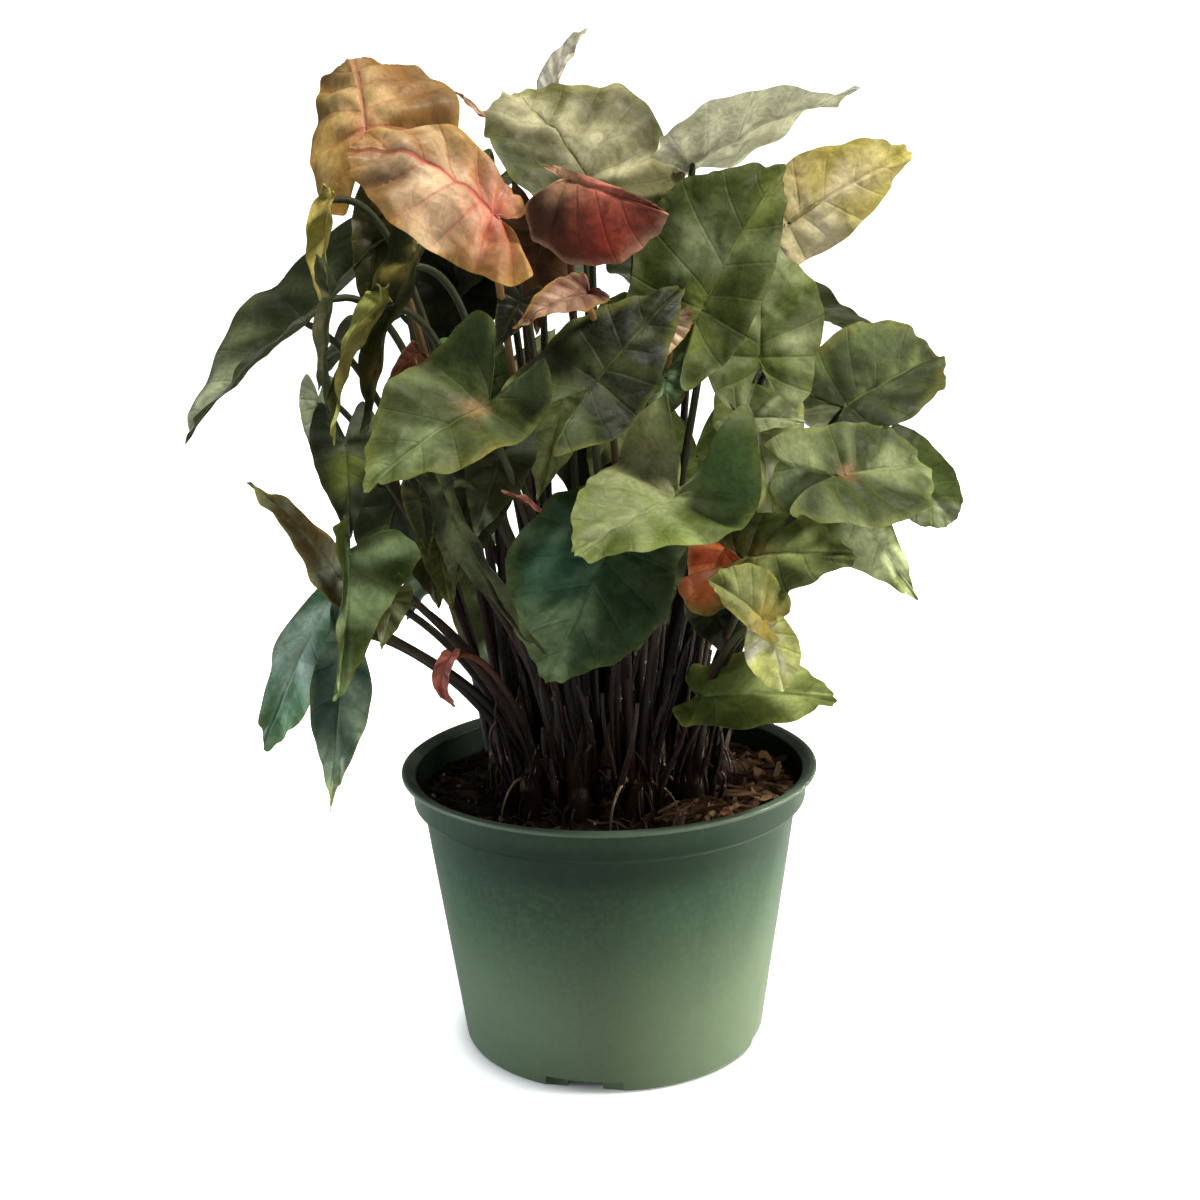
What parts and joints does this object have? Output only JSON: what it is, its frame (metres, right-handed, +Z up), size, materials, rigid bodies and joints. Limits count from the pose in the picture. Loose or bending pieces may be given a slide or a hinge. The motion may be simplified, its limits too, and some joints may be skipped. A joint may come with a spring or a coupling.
{
  "type": "potted arrowhead plant",
  "caption": "Bushy arrowhead plant with arrow-shaped leaves in deep green, cream green and peach pink, standing on tall stalks in a round green plastic nursery pot filled with soil.",
  "frame": {"origin": "centre of the pot's base, on the surface that the pot stands on", "axes": "+Z up, +X to the right seen from the plant's front, -Y towards the viewer of that front"},
  "size_m": [0.2966, 0.2597, 0.3981],
  "materials": {
    "pot_plastic": "satin",
    "soil": "matte",
    "leaf_green": "satin",
    "leaf_dark": "satin",
    "leaf_pale": "satin",
    "leaf_pink": "satin",
    "stalk": "satin"
  },
  "bodies": {
    "root": {"pot": "pot_plastic", "soil": "soil", "leafy_stem_1": "leaf_pink", "leafy_stem_2": "leaf_dark", "leafy_stem_3": "leaf_green", "leafy_stem_4": "leaf_green", "leafy_stem_5": "leaf_pink", "leafy_stem_6": "leaf_pale", "leafy_stem_7": "leaf_pale", "leafy_stem_8": "leaf_green", "leafy_stem_9": "leaf_pale", "leafy_stem_10": "leaf_pale", "leafy_stem_11": "leaf_green", "leafy_stem_12": "leaf_green", "leafy_stem_13": "leaf_green"}
  },
  "joints": []
}
